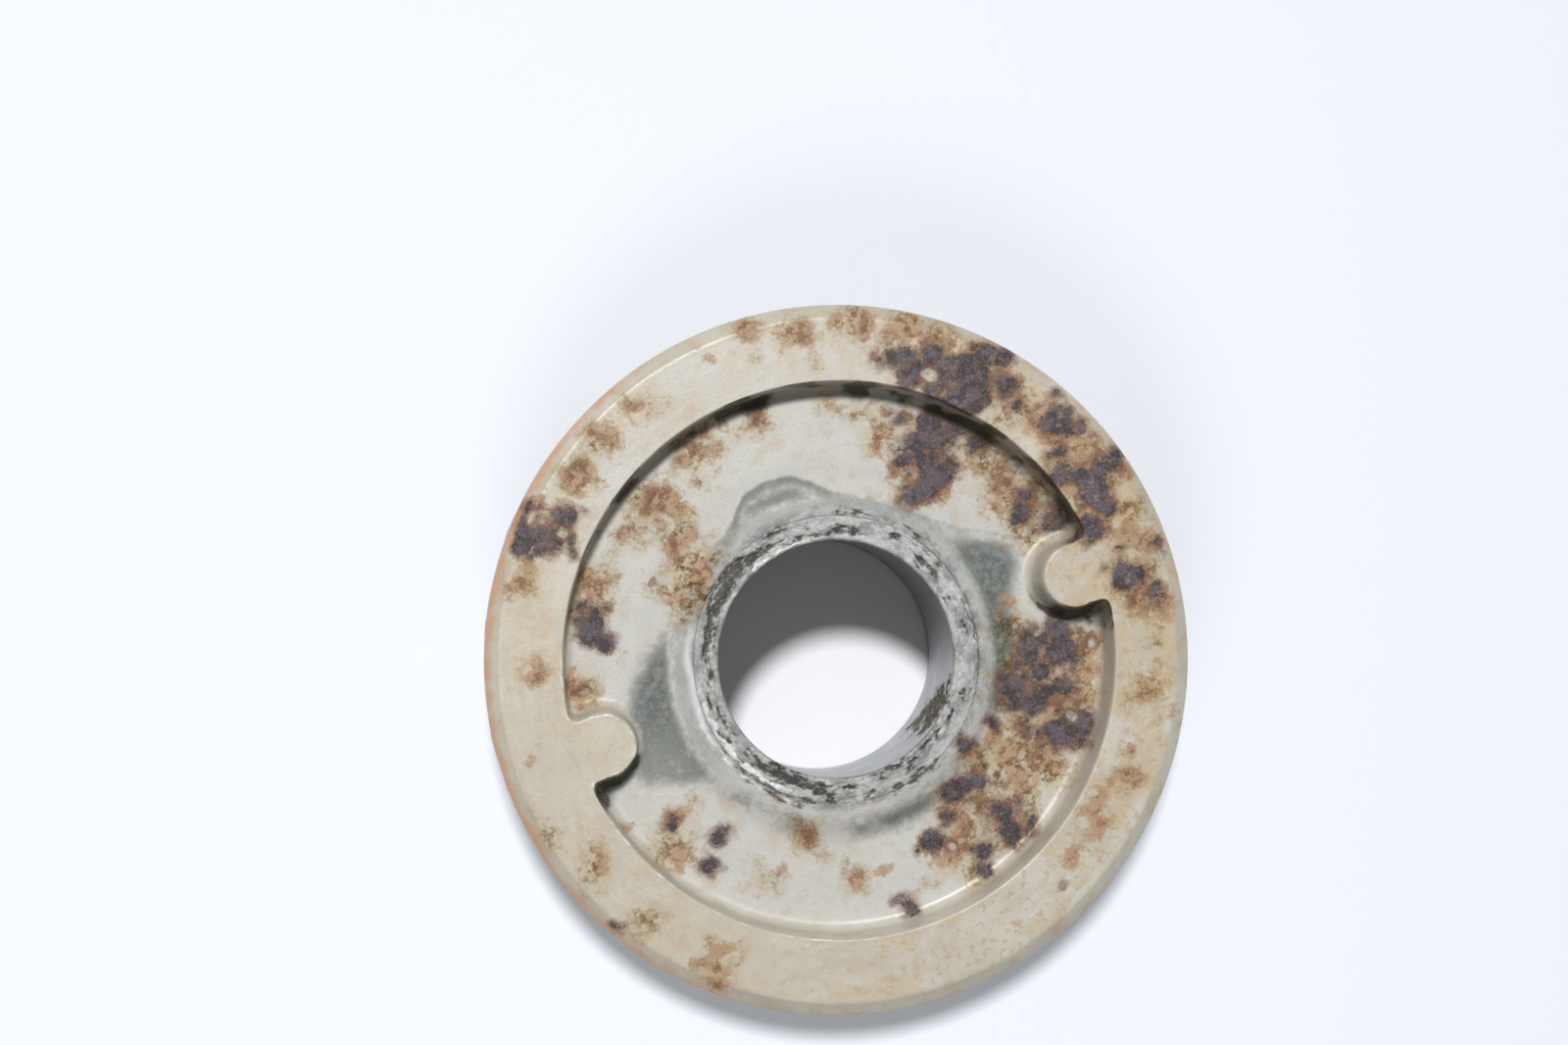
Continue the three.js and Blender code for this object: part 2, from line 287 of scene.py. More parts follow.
# Dark torn patches on the worn ring: angle seen, radius, length along the ring, and width.
GALLS = [
    # upper right
    (42, 14.65, 1.1, 0.8), (50, 14.5, 1.3, 0.9), (64, 15.05, 0.6, 0.5), (57, 16.5, 1.6, 0.3),
    (84, 16.35, 1.8, 0.25), (28, 14.2, 0.6, 0.4), (14, 14.9, 0.5, 0.4),
    # upper left
    (88, 14.3, 2.2, 0.6), (97, 13.9, 1.6, 0.5), (104, 14.0, 3.0, 0.6), (117, 15.6, 1.0, 0.35),
    (124, 14.5, 2.4, 1.0), (131, 14.6, 3.4, 1.1), (140, 14.8, 5.0, 1.5), (149, 14.8, 4.4, 1.5),
    (156, 14.7, 3.0, 1.2), (163, 14.6, 2.6, 0.7), (170, 14.3, 2.2, 0.7), (177, 14.5, 1.6, 0.9),
    # lower left
    (188, 14.2, 1.2, 0.5), (199, 14.9, 1.4, 0.4), (208, 14.2, 1.4, 0.5), (217, 15.4, 2.4, 0.8),
    (229, 15.9, 1.6, 0.6), (233, 15.3, 2.4, 0.9), (238, 16.0, 1.8, 0.9), (242, 15.8, 2.2, 1.2),
    (247, 16.2, 2.0, 0.8), (252, 16.4, 1.8, 0.6), (257, 16.1, 1.6, 0.7), (228, 14.2, 1.8, 0.7),
    (235, 14.4, 2.6, 1.0), (243, 14.2, 3.0, 1.3), (250, 14.1, 2.8, 1.2), (257, 14.3, 2.6, 1.2),
    # bottom and lower right
    (263, 14.6, 1.8, 1.0), (268, 15.2, 1.0, 1.0), (276, 14.4, 1.0, 0.5), (284, 15.4, 1.2, 0.4),
    (297, 15.8, 1.6, 0.6), (303, 15.9, 1.4, 0.5), (309, 16.0, 1.8, 0.5), (306, 14.9, 1.2, 0.5),
    (300, 13.7, 3.2, 0.35), (310, 13.65, 3.0, 0.35), (319, 13.7, 2.6, 0.35),
    (326, 13.9, 1.6, 0.4), (331, 14.0, 1.0, 0.6), (345, 14.6, 0.8, 0.4),
]

# How grey and dull the worn ring is between them: angle seen, and a share.
DULL = [
    (0, 0.5), (30, 0.25), (60, 0.3), (90, 0.5), (120, 0.6), (150, 1.0), (175, 0.85),
    (210, 0.8), (240, 0.7), (270, 0.55), (300, 0.65), (330, 0.55),
]

# Rust in the bore: angle seen, depth below the ring, diameter.
BORE_SPOTS = [
    (-18, 2, 2.6), (-21, 5, 3.4), (-24, 2.5, 3.4), (-26, 8, 4.0), (-29, 4.5, 4.2),
    (-31, 10.5, 3.4), (-34, 4, 3.6), (-36, 8.5, 2.8), (-12, 1.6, 1.4), (-38, 13, 2.0),
]

REAR_STAIN_COUNT = 60
REAR_STAIN_SEED = 11
REAR_SIDE_SHARE = 0.3             # of these, on the side of the flange
ON_BOSS_R = 21                    # a rear stain nearer the axis than this is on the boss
SPECK_SEED = 5
SMALLEST_PIT_R = 0.22


def with_specks(centre, size, rng):
    """A round spot and a few specks strewn around it: rows of x, y, z and radius."""
    spots = [(*centre, size / 2)]
    for _ in range(int(1 + size)):
        angle = rng.uniform(0, 2 * math.pi)
        x, y = from_polar(size * rng.uniform(0.5, 0.95), angle)
        spots.append((centre[0] + x, centre[1] + y, centre[2], rng.uniform(0.08, 0.3)))
    return spots


def face_spots(stains, seed):
    """The round spots of a list of stains on the recessed face, with their specks."""
    rng = np.random.default_rng(seed)
    spots = []
    for angle_seen, radius, size in stains:
        x, y = from_polar(radius, turned(angle_seen))
        z = float(face_height(np.array([x]), np.array([y]))[0])
        spots += with_specks((x, y, z), size, rng)
    return spots


def rear_spots(seed):
    """Stains strewn over the side and the rear, which look like those on the face."""
    rng = np.random.default_rng(seed)
    spots = []
    for _ in range(REAR_STAIN_COUNT):
        angle = rng.uniform(0, 2 * math.pi)
        radius = rng.uniform(17, FLANGE_R)
        on_side = rng.uniform(0, 1) < REAR_SIDE_SHARE
        z = rng.uniform(BACK_Z + 1, FACE_Z - 3.5) if on_side else BACK_Z
        radius = FLANGE_R if on_side else radius
        z = rng.uniform(1, BACK_Z - 3) if radius < ON_BOSS_R else z
        for _ in range(rng.integers(1, 5)):
            near = angle + rng.uniform(-2.2, 2.2) / radius
            centre = (*from_polar(radius, near), z)
            spots += with_specks(centre, rng.uniform(1.0, 3.6), rng)
    return spots


def around(angle, knots, column):
    """A value given at a few angles seen, interpolated at any angle of the frame."""
    at = [knot[0] for knot in knots]
    values = [knot[column] for knot in knots]
    return np.interp(np.degrees(angle) + LUG_TURN_DEG, at, values, period=360)


def edge_distance(points, spots, reach=4.0):
    """Distance from each point to the nearest spot's edge, negative inside a spot."""
    nearest = np.full(points.shape[:-1], reach)
    for x, y, z, radius in spots:
        apart = np.linalg.norm(points - np.array((x, y, z)), axis=-1)
        nearest = np.minimum(nearest, apart - radius)
    return nearest


def warped(points, amount, size, seed):
    """Points moved about by noise, so that round spots get uneven edges."""
    moves = [noise(points, size, seed + k, octaves=2) for k in range(3)]
    return points + amount * np.stack(moves, axis=-1)


# -------- the recessed face

# Depth below the rim's face across the recess wall: rounded edge, draft, fillet.
EDGE = [(-0.14, 0.0), (-0.05, 0.012), (0.0, 0.06), (0.06, 0.2), (0.12, 0.42)]
FILLET_START = (0.45, 3.5)
FILLET_WIDTH = 1.2
CORNER_BLEND = 1.3
WEAR = 0.03                       # how deep the rubbed zone is worn into the floor

RUB_START_R = 17.3                # the rubbed zone's inner edge
GLEAM_R = 16.4                    # burrs and a painted highlight around the collar lie on this radius
LUG_ROOT = (29.6, -5.0)           # |x| and y of the painted shadow in the corner below each lug

STREAK_R = 15.0                   # streaks on this radius are as long as their noise's size
STREAK_STRETCH = 2.2              # and this many times narrower


def smooth_min(a, b, blend):
    """The smaller of two values, rounded off where they meet."""
    h = np.clip(0.5 + 0.5 * (b - a) / blend, 0, 1)
    return b * (1 - h) + a * h - blend * h * (1 - h)


def inside_recess(x, y):
    """Distance into the recess from its outline, negative on the rim and the lugs."""
    radius = np.hypot(x, y)
    along = np.abs(x)
    lug = np.hypot(np.minimum(along - LUG_CENTRE_R, 0), y) - LUG_RADIUS
    return smooth_min(RECESS_R - radius, lug, CORNER_BLEND)


def wall_depth(inside):
    """Depth below the rim's face at a distance into the recess, without the collar."""
    steps = np.linspace(0, math.pi / 2, 9)
    fillet_x = FILLET_START[0] + FILLET_WIDTH * (1 - np.cos(steps))
    fillet_d = FILLET_START[1] + (RECESS_DEPTH - FILLET_START[1]) * np.sin(steps)
    across = [p[0] for p in EDGE] + list(fillet_x)
    depth = [p[1] for p in EDGE] + list(fillet_d)
    return np.interp(inside, across, depth)


def face_height(x, y):
    """Height of the recessed face: the rim, the recess wall, and the collar on the floor."""
    radius = np.hypot(x, y)
    rise = COLLAR_HEIGHT * smoothstep(radius, COLLAR_FOOT_R, COLLAR_EDGE_R)
    return FACE_Z - wall_depth(inside_recess(x, y)) + rise


# -------- closed grids


def arc(centre, width, height, from_deg, to_deg, steps):
    """Points on a part of an ellipse."""
    angles = np.radians(np.linspace(from_deg, to_deg, steps + 1))
    x = centre[0] + width * np.cos(angles)
    z = centre[1] + height * np.sin(angles)
    return list(zip(x, z))


def line(start, end, steps):
    """Points from start, up to but not including end."""
    return [
        tuple(np.array(start) + (np.array(end) - start) * i / steps) for i in range(steps)
    ]


def angle_columns(plain_step, lug_step, lug_half):
    """Angles all round, closer together near the two lugs. The steps are in degrees."""
    plain = int((180 - 2 * lug_half) / plain_step)
    dense = int(2 * lug_half / lug_step)
    half = list(np.linspace(-lug_half, lug_half, dense, endpoint=False))
    half += list(np.linspace(lug_half, 180 - lug_half, plain, endpoint=False))
    return np.radians(np.array(half + [a + 180 for a in half]))


def revolve(profile, angles):
    """Grid of points (rows, columns, xyz) of a half section turned about Z."""
    r = np.array([p[0] for p in profile])[:, None]
    z = np.array([p[1] for p in profile])[:, None]
    return np.stack((r * np.cos(angles), r * np.sin(angles), z + 0 * angles), axis=-1)


def grid_normals(grid):
    """Outward normals of a grid that wraps both ways."""
    along_row = np.roll(grid, -1, axis=1) - np.roll(grid, 1, axis=1)
    down_rows = np.roll(grid, -1, axis=0) - np.roll(grid, 1, axis=0)
    normal = np.cross(along_row, down_rows)
    return normal / np.maximum(np.linalg.norm(normal, axis=-1, keepdims=True), 1e-12)


def in_scene(name, data):
    """A new object in the scene, which holds a mesh, a lamp or a camera."""
    obj = bpy.data.objects.new(name, data)
    bpy.context.scene.collection.objects.link(obj)
    return obj


def grid_object(name, grid, fields, material):
    """A closed mesh of quads from a grid that wraps both ways. Its vertices carry the fields
    and the places for patterns that are drawn out round the axis."""
    rows, columns = grid.shape[:2]
    index = np.arange(rows * columns).reshape(rows, columns)
    right = np.roll(index, -1, axis=1)
    corners = (index, right, np.roll(right, -1, axis=0), np.roll(index, -1, axis=0))
    faces = np.stack(corners, axis=-1).reshape(-1, 4)
    mesh = bpy.data.meshes.new(name)
    mesh.from_pydata((grid.reshape(-1, 3) * MM).tolist(), [], faces.tolist())
    mesh.polygons.foreach_set("use_smooth", np.ones(len(faces), dtype=bool))
    for field, values in fields.items():
        layer = mesh.attributes.new(field, "FLOAT", "POINT")
        layer.data.foreach_set("value", values.reshape(-1).astype(np.float32))
    layer = mesh.attributes.new("around", "FLOAT_VECTOR", "POINT")
    layer.data.foreach_set("vector", (around_place(grid) * MM).reshape(-1).astype(np.float32))
    mesh.materials.append(material)
    mesh.update()
    return in_scene(name, mesh)


def rub_fields(points):
    """How strongly each point is rubbed, and whether it lies in the worn zone, from 0 to 1."""
    radius, angle = polar(points)
    reach = around(angle, RUB, 1)
    apart = radius - reach + 0.12 * noise(points, 2.0, 73)
    zone = smoothstep(apart, 0.7, -0.7)
    fade = np.where(apart < -0.2, 1.3, 0.3)
    edge_line = 0.75 * around(angle, RUB, 3) * band(apart + 0.2, fade)
    uneven = apart + 0.7 * noise(points, 2.6, 71, octaves=3)
    rub = around(angle, RUB, 2) * smoothstep(uneven, 0.7, -3.2)
    inner = RUB_START_R - 0.5 * np.cos(angle - turned(10))
    rub = rub * smoothstep(radius, inner, inner + 1.9)
    return np.maximum(rub, edge_line), zone


def around_place(points):
    """Places for patterns that are drawn out round the axis, like turning marks."""
    radius, angle = polar(points)
    across = (radius - STREAK_R) * STREAK_STRETCH + points[..., 2]
    return np.stack((STREAK_R * np.cos(angle), STREAK_R * np.sin(angle), across), axis=-1)


def gall_distance(points):
    """Distance to the edge of the nearest torn patch of the worn ring."""
    radius, angle = polar(points)
    radius = radius + 0.2 * noise(points, 0.9, 51)
    nearest = np.full(points.shape[:-1], 2.0)
    for angle_seen, at, length, width in GALLS:
        turn = np.remainder(angle - turned(angle_seen) + math.pi, 2 * math.pi) - math.pi
        scaled = np.hypot(turn * at / (length / 2), (radius - at) / (width / 2))
        nearest = np.minimum(nearest, (scaled - 1.15) * width / 2)
    return nearest


def bright_fields(grid, inside):
    """Burrs on the recess edge and the collar, painted near white as glints, and a painted
    highlight.
    """
    radius, angle = polar(grid)
    ragged = smoothstep(noise(grid, 0.9, 21, octaves=2), -0.1, 0.5)
    # The burrs stand up a little, and are painted near white as glints.
    burr_glint = band(inside + 0.1, 0.14) * ragged * sector(angle, 224, 0.55, 0.85)
    dashes = smoothstep(noise(grid, 0.8, 23, octaves=3), 0.15, 0.5)
    dashed_glint = band(inside + 0.75 + 0.3 * noise(grid, 3.0, 27), 0.09)
    burr_glint = np.maximum(burr_glint, 0.7 * dashed_glint * dashes * sector(angle, 292, 0.6, 0.85))
    flaky = noise(around_place(grid), 1.2, 25, octaves=3)
    ridge = band(radius - GLEAM_R - 0.9 * flaky, 0.28) * smoothstep(flaky, -0.2, 0.2)
    burr_glint = np.maximum(burr_glint, ridge * sector(angle, 232, 0.78, 0.95))
    # A painted highlight on the collar's left side.
    highlight_r = GLEAM_R + 0.3 * noise(grid, 3.0, 29, octaves=2)
    painted_highlight = band(radius - highlight_r, 0.4) * sector(angle, 188, 0.9, 0.98)
    return burr_glint, painted_highlight


def dark_fields(grid, normals, inside):
    """Painted shade on the recess wall and in its corners, and grime along the sleeve's seam."""
    x, y, z = (grid[..., k] for k in range(3))
    radius, angle = polar(grid)
    # The right lug's left side faces the light, so the painted shade is kept off it.
    near_right_lug = smoothstep(np.hypot(x - LUG_CENTRE_R, y), 7.0, 5.5)
    lit_side = 0.85 * near_right_lug * smoothstep(-facing(normals, 0), 0.1, 0.6)
    # Painted shade on faces turned down in the view, away from the light, and more of it under
    # the lugs.
    under = smoothstep(-facing(normals, 90), 0.05, 0.45) * (1 - lit_side)
    under = under * (1 + 2 * smoothstep(np.abs(y), 6.5, 5.5) * (np.abs(x) > 22))
    # Painted shadow in the recess's upper corner, below the rim's edge.
    corner = (inside > 0.2) * smoothstep(RECESS_R - radius, 2.5, 1.3)
    corner = 0.8 * corner * sector(angle, 66, 0.6, 0.95)
    # Painted shadow in the corner below each lug.
    from_root = np.hypot(np.abs(x) - LUG_ROOT[0], y - LUG_ROOT[1])
    root = (inside > -0.02) * smoothstep(from_root, 2.4, 0.9)
    grime = 0.5 * smoothstep(radius, HOLE_R + 0.3, HOLE_R + 0.02) * sector(angle, 15, 0.72, 0.9)
    grime = grime * smoothstep(noise(grid, 1.0, 33, octaves=3), -0.35, 0.1)
    return np.maximum(np.maximum(under, corner), 2 * root), grime * (z > FLOOR_Z)


# -------- shader graph


def linear(red, green, blue):
    """A colour given as 0 to 255 on screen, as the shader's linear values."""
    values = [c / 255 for c in (red, green, blue)]
    return [c / 12.92 if c <= 0.04045 else ((c + 0.055) / 1.055) ** 2.4 for c in values] + [1]


# The Mix node has sockets of the same name for numbers and colours, so they go by number:
# two inputs and an output.
MIX_NUMBERS = (2, 3, 0)
MIX_COLOURS = (6, 7, 2)


class Graph:
    """Short names for the nodes of one material."""

    def __init__(self, name):
        self.material = bpy.data.materials.new(name)
        self.material.use_nodes = True
        self.tree = self.material.node_tree
        self.shader = self.tree.nodes["Principled BSDF"]
        self.place = self.node("TexCoord").outputs["Object"]
        around = self.node("Attribute")
        around.attribute_name = "around"
        self.around = around.outputs["Vector"]

    def node(self, kind):
        return self.tree.nodes.new("ShaderNode" + kind)

    def put(self, socket, value):
        """Links an input to another node's output, or sets its value."""
        if isinstance(value, bpy.types.NodeSocket):
            self.tree.links.new(value, socket)
        else:
            socket.default_value = value

    def field(self, name):
        """A value kept on the mesh's vertices."""
        node = self.node("Attribute")
        node.attribute_name = name
        return node.outputs["Fac"]

    def math(self, operation, a, b=0.0):
        node = self.node("Math")
        node.operation = operation
        self.put(node.inputs[0], a)
        self.put(node.inputs[1], b)
        return node.outputs[0]

    def moved(self, place, seed):
        """Places moved far along, so that each seed gives another pattern."""
        node = self.node("VectorMath")
        node.operation = "ADD"
        self.put(node.inputs[0], place)
        node.inputs[1].default_value = (0.31 * seed, 0.17 * seed, 0.23 * seed)
        return node.outputs[0]

    def noise(self, size, detail=3.0, seed=1, rough=0.5, place=None):
        """Noise from 0 to 1 with features of the given size in millimetres."""
        node = self.node("TexNoise")
        self.put(node.inputs["Vector"], self.moved(place or self.place, seed))
        node.inputs["Scale"].default_value = 1 / (size * MM)
        node.inputs["Detail"].default_value = detail
        node.inputs["Roughness"].default_value = rough
        return node.outputs[0]

    def step(self, value, low, high):
        """0 below low and 1 above high, smooth between; low may be above high."""
        node = self.node("MapRange")
        node.interpolation_type = "SMOOTHSTEP"
        self.put(node.inputs["Value"], value)
        node.inputs["From Min"].default_value = low
        node.inputs["From Max"].default_value = high
        return node.outputs[0]

    def broken(self, name, *patterns):
        """A field moved either way by 0 to 1 patterns, so that its edge breaks up."""
        field = self.field(name)
        for pattern, amount in patterns:
            centred = self.math("SUBTRACT", pattern, 0.5)
            field = self.math("ADD", field, self.math("MULTIPLY", centred, amount))
        return field

    def times(self, a, b):
        return self.math("MULTIPLY", a, b)

    def mixed(self, node, sockets, factor, a, b):
        first, second, out = sockets
        self.put(node.inputs[0], factor)
        self.put(node.inputs[first], a)
        self.put(node.inputs[second], b)
        return node.outputs[out]

    def blend(self, factor, a, b):
        """A mix of two numbers."""
        return self.mixed(self.node("Mix"), MIX_NUMBERS, factor, a, b)

    def mix(self, factor, a, b):
        """A mix of two colours."""
        node = self.node("Mix")
        node.data_type = "RGBA"
        return self.mixed(node, MIX_COLOURS, factor, a, b)

    def over(self, colour, mask, strength, tone):
        """A colour with another laid over it, where a mask is 1 and as strongly as given."""
        return self.mix(self.times(mask, strength), colour, linear(*tone))

    def stained(self, factor, colour, tint):
        """A colour seen through a stain, which is given by the share of each it lets by."""
        out = self.mix(factor, colour, (*tint, 1))
        out.node.blend_type = "MULTIPLY"
        return out

    def bump(self, height, distance):
        """Relief on the shader's normal, with its depth in millimetres."""
        node = self.node("Bump")
        node.inputs["Distance"].default_value = distance * MM
        self.put(node.inputs["Height"], height)
        self.put(self.shader.inputs["Normal"], node.outputs[0])


def galled_colour(g, fine, grain):
    """Bare metal of the worn ring, which runs on over the seam onto the collar."""
    patchy = g.noise(3.2, 3, seed=14, place=g.around)
    face = g.mix(g.step(fine, 0.42, 0.58), linear(156, 157, 154), linear(188, 189, 187))
    face = g.over(face, g.step(patchy, 0.5, 0.58), 0.55, (204, 205, 204))
    face = g.over(face, g.step(patchy, 0.47, 0.4), 0.65, (124, 122, 124))
    face = g.over(face, g.field("dull"), 0.55, (132, 134, 129))
    face = g.over(face, g.step(grain, 0.54, 0.64), 0.35, (214, 215, 213))
    face = g.over(face, g.step(grain, 0.46, 0.36), 0.3, (108, 110, 106))
    smooth = g.mix(g.field("low"), linear(173, 175, 171), linear(212, 210, 204))
    face = g.mix(g.times(g.field("calm"), 0.7), face, smooth)
    torn = g.broken("torn", (fine, 3.0), (grain, 0.7))
    tone = g.mix(g.step(patchy, 0.46, 0.54), linear(44, 48, 44), linear(80, 73, 66))
    tone = g.over(tone, g.step(fine, 0.5, 0.42), 0.7, (34, 35, 32))
    face = g.over(face, g.step(torn, 0.5, -0.1), 0.6, (118, 118, 111))
    face = g.mix(g.times(g.step(torn, 0.12, -0.2), 0.95), face, tone)
    flecks = g.times(g.step(torn, 0.4, -0.1), g.step(grain, 0.57, 0.63))
    return g.over(face, flecks, 0.35, (168, 168, 162))


def casting_material():
    g = Graph("corroded_casting")
    grain = g.noise(0.3, 3, seed=1)
    fine = g.noise(0.8, 4, seed=2, rough=0.6)
    medium = g.noise(2.4, 5, seed=3, rough=0.6)
    broad = g.noise(9, 3, seed=4)

    # Dull metal: greyer on the recess floor, clouded and finely scored on the rim.
    metal = g.mix(g.step(broad, 0.35, 0.65), linear(206, 201, 188), linear(197, 190, 174))
    metal = g.over(metal, g.field("floor"), 0.75, (201, 201, 197))
    metal = g.over(metal, g.field("warm"), 0.45, (200, 190, 170))
    metal = g.over(metal, g.step(medium, 0.5, 0.66), 0.3, (184, 174, 152))
    metal = g.over(metal, g.step(grain, 0.52, 0.7), 0.25, (164, 158, 146))
    cloudy = g.step(g.noise(5, 4, seed=18, rough=0.6), 0.47, 0.56)
    metal = g.mix(g.times(cloudy, g.field("freckle")), metal, linear(198, 180, 148))
    turning = g.step(g.noise(2.6, 5, seed=16, rough=0.6, place=g.around), 0.47, 0.62)
    turning = g.times(turning, g.blend(g.field("floor"), 0.4, 0.15))
    metal = g.mix(turning, metal, linear(186, 178, 164))

    # Bare metal around the sleeve, and the dark rubbed zone outside it.
    ring_grain = g.noise(0.5, 3, seed=11, rough=0.6, place=g.around)
    ring_fine = g.noise(1.3, 4, seed=12, rough=0.6, place=g.around)
    bare = g.step(g.broken("bare", (ring_fine, 2.0)), 0.3, 0.8)
    colour = g.mix(g.times(bare, 0.95), metal, galled_colour(g, ring_fine, ring_grain))
    rub = g.step(g.broken("rub", (fine, 1.0)), 0.04, 0.85)
    rubbed = g.mix(g.step(fine, 0.38, 0.64), linear(82, 87, 83), linear(118, 124, 121))
    rubbed = g.over(rubbed, g.step(grain, 0.56, 0.68), 0.35, (166, 170, 168))
    colour = g.mix(g.times(rub, 0.9), colour, rubbed)

    # Yellow-brown haze with veins and specks, then rust.
    tea = g.broken("tea", (medium, 6.0), (fine, 3.0))
    haze = g.times(g.step(tea, 1.3, -0.6), g.blend(g.step(fine, 0.42, 0.6), 0.4, 0.95))
    haze = g.times(haze, g.blend(g.field("floor"), 0.7, 1.0))
    colour = g.stained(haze, colour, (0.87, 0.73, 0.48))
    steeped = g.times(g.step(tea, 0.2, -1.3), g.step(fine, 0.42, 0.56))
    colour = g.stained(steeped, colour, (0.55, 0.43, 0.32))
    from_line = g.math("ABSOLUTE", g.math("SUBTRACT", medium, 0.5))
    veins = g.times(g.step(from_line, 0.04, 0.005), haze)
    colour = g.stained(veins, colour, (0.55, 0.42, 0.32))
    specks = g.times(g.step(g.noise(0.55, 3, seed=5), 0.52, 0.64), haze)
    colour = g.stained(specks, colour, (0.62, 0.48, 0.36))
    rust = g.broken("rust", (medium, 3.4), (fine, 3.6), (grain, 1.2))
    orange = g.times(g.step(rust, 0.5, -0.5), 0.85)
    rust_tone = g.mix(g.step(fine, 0.42, 0.58), linear(172, 138, 104), linear(138, 98, 74))
    rust_tone = g.over(rust_tone, g.step(grain, 0.52, 0.64), 0.3, (188, 156, 120))
    colour = g.mix(orange, colour, rust_tone)
    deep = g.times(g.step(rust, -0.2, -1.0), g.step(fine, 0.44, 0.54))
    colour = g.over(colour, deep, 0.75, (112, 74, 60))

    # Purple-brown crusts with a rusty border, and craters.
    scab = g.broken("scab", (medium, 2.2), (fine, 2.0), (grain, 0.8))
    ring = g.times(g.step(scab, 1.0, 0.1), g.blend(g.step(fine, 0.36, 0.6), 0.45, 0.9))
    core = g.step(scab, 0.24, -0.3)
    blotch = g.noise(1.5, 4, seed=6, rough=0.6)
    crust = g.mix(g.step(blotch, 0.42, 0.58), linear(56, 51, 56), linear(90, 82, 90))
    crust = g.over(crust, g.step(medium, 0.52, 0.62), 0.7, (104, 74, 60))
    crust = g.over(crust, g.step(grain, 0.54, 0.66), 0.4, (146, 138, 138))
    crust = g.over(crust, g.step(fine, 0.46, 0.38), 0.7, (54, 44, 44))
    colour = g.mix(ring, colour, linear(122, 88, 68))
    colour = g.mix(g.times(core, 0.94), colour, crust)

    pit = g.broken("pit", (fine, 0.5))
    pit_rim = g.times(g.step(pit, 0.5, 0.1), 0.6)
    colour = g.mix(pit_rim, colour, linear(120, 90, 70))
    pit_floor = g.mix(g.step(fine, 0.44, 0.56), linear(150, 142, 132), linear(188, 181, 168))
    colour = g.mix(g.times(g.step(pit, 0.08, -0.25), 0.9), colour, pit_floor)

    # Freckles, rim-edge stains, painted shade, grime, a painted highlight, glints painted on
    # burrs.
    freckle = g.times(g.step(g.noise(0.8, 3, seed=8), 0.56, 0.64), g.field("freckle"))
    colour = g.over(colour, freckle, 0.6, (182, 146, 112))
    edge = g.step(g.broken("edge", (medium, 2.4)), 0.1, 1.1)
    colour = g.over(colour, edge, 0.75, (206, 156, 120))
    # Painted shade, broken up in patches.
    patchy_shade = g.blend(g.step(g.noise(4.5, 3, seed=17), 0.46, 0.56), 0.35, 1.0)
    painted_shade = g.math("MINIMUM", g.times(g.field("painted_shade"), patchy_shade), 1.0)
    colour = g.over(colour, painted_shade, 0.9, (56, 50, 40))
    colour = g.over(colour, g.field("grime"), 0.85, (52, 50, 46))
    # Painted highlight on the collar's left side.
    colour = g.over(colour, g.field("painted_highlight"), 0.75, (226, 228, 230))
    burr_glint = g.field("burr_glint")
    # Burrs, painted near white as glints.
    colour = g.over(colour, burr_glint, 0.8, (236, 236, 230))
    g.put(g.shader.inputs["Base Color"], colour)

    rough = g.blend(broad, 0.36, 0.48)
    rough = g.blend(g.field("matt"), rough, 0.72)
    rough = g.blend(orange, rough, 0.55)
    rough = g.blend(core, rough, 0.62)
    rough = g.blend(burr_glint, rough, 0.3)
    g.put(g.shader.inputs["Roughness"], rough)
    g.shader.inputs["Specular IOR Level"].default_value = 0.35
    metallic = g.blend(g.math("MAXIMUM", core, orange), 0.08, 0.0)
    g.put(g.shader.inputs["Metallic"], metallic)

    relief = g.times(g.math("SUBTRACT", grain, 0.5), 0.3)
    relief = g.math("ADD", relief, g.times(g.times(core, fine), 1.8))
    relief = g.math("ADD", relief, g.times(g.times(orange, fine), 0.5))
    relief = g.math("ADD", relief, g.times(g.times(bare, ring_grain), 1.2))
    g.bump(relief, 0.06)
    return g.material


def sleeve_material():
    g = Graph("galled_sleeve")
    grain = g.noise(0.5, 3, seed=11, rough=0.6, place=g.around)
    fine = g.noise(1.3, 4, seed=12, rough=0.6, place=g.around)
    medium = g.noise(3.2, 4, seed=13)
    end = g.field("end")

    wall = g.mix(g.step(medium, 0.35, 0.65), linear(166, 170, 174), linear(190, 192, 195))
    wall = g.over(wall, g.field("shade"), 0.8, (112, 110, 108))
    colour = g.mix(end, wall, galled_colour(g, fine, grain))
    rust = g.step(g.broken("rust", (fine, 5.0), (grain, 3.0)), 0.3, -0.4)
    rust_tone = g.mix(g.step(grain, 0.42, 0.6), linear(54, 48, 34), linear(132, 114, 78))
    colour = g.mix(g.times(rust, 0.9), colour, rust_tone)
    colour = g.over(colour, g.field("seam"), 0.85, (58, 58, 52))
    # Burrs, painted near white as glints.
    burr_glint = g.field("burr_glint")
    colour = g.over(colour, burr_glint, 0.8, (238, 239, 237))
    g.put(g.shader.inputs["Base Color"], colour)

    rough = g.blend(end, 0.36, g.blend(fine, 0.42, 0.58))
    g.put(g.shader.inputs["Roughness"], g.blend(rust, rough, 0.85))
    g.put(g.shader.inputs["Metallic"], g.blend(rust, 0.15, 0.0))
    height = g.times(g.math("ADD", fine, grain), g.blend(end, 0.2, 1.0))
    g.bump(height, 0.05)
    return g.material


# -------- the two pieces


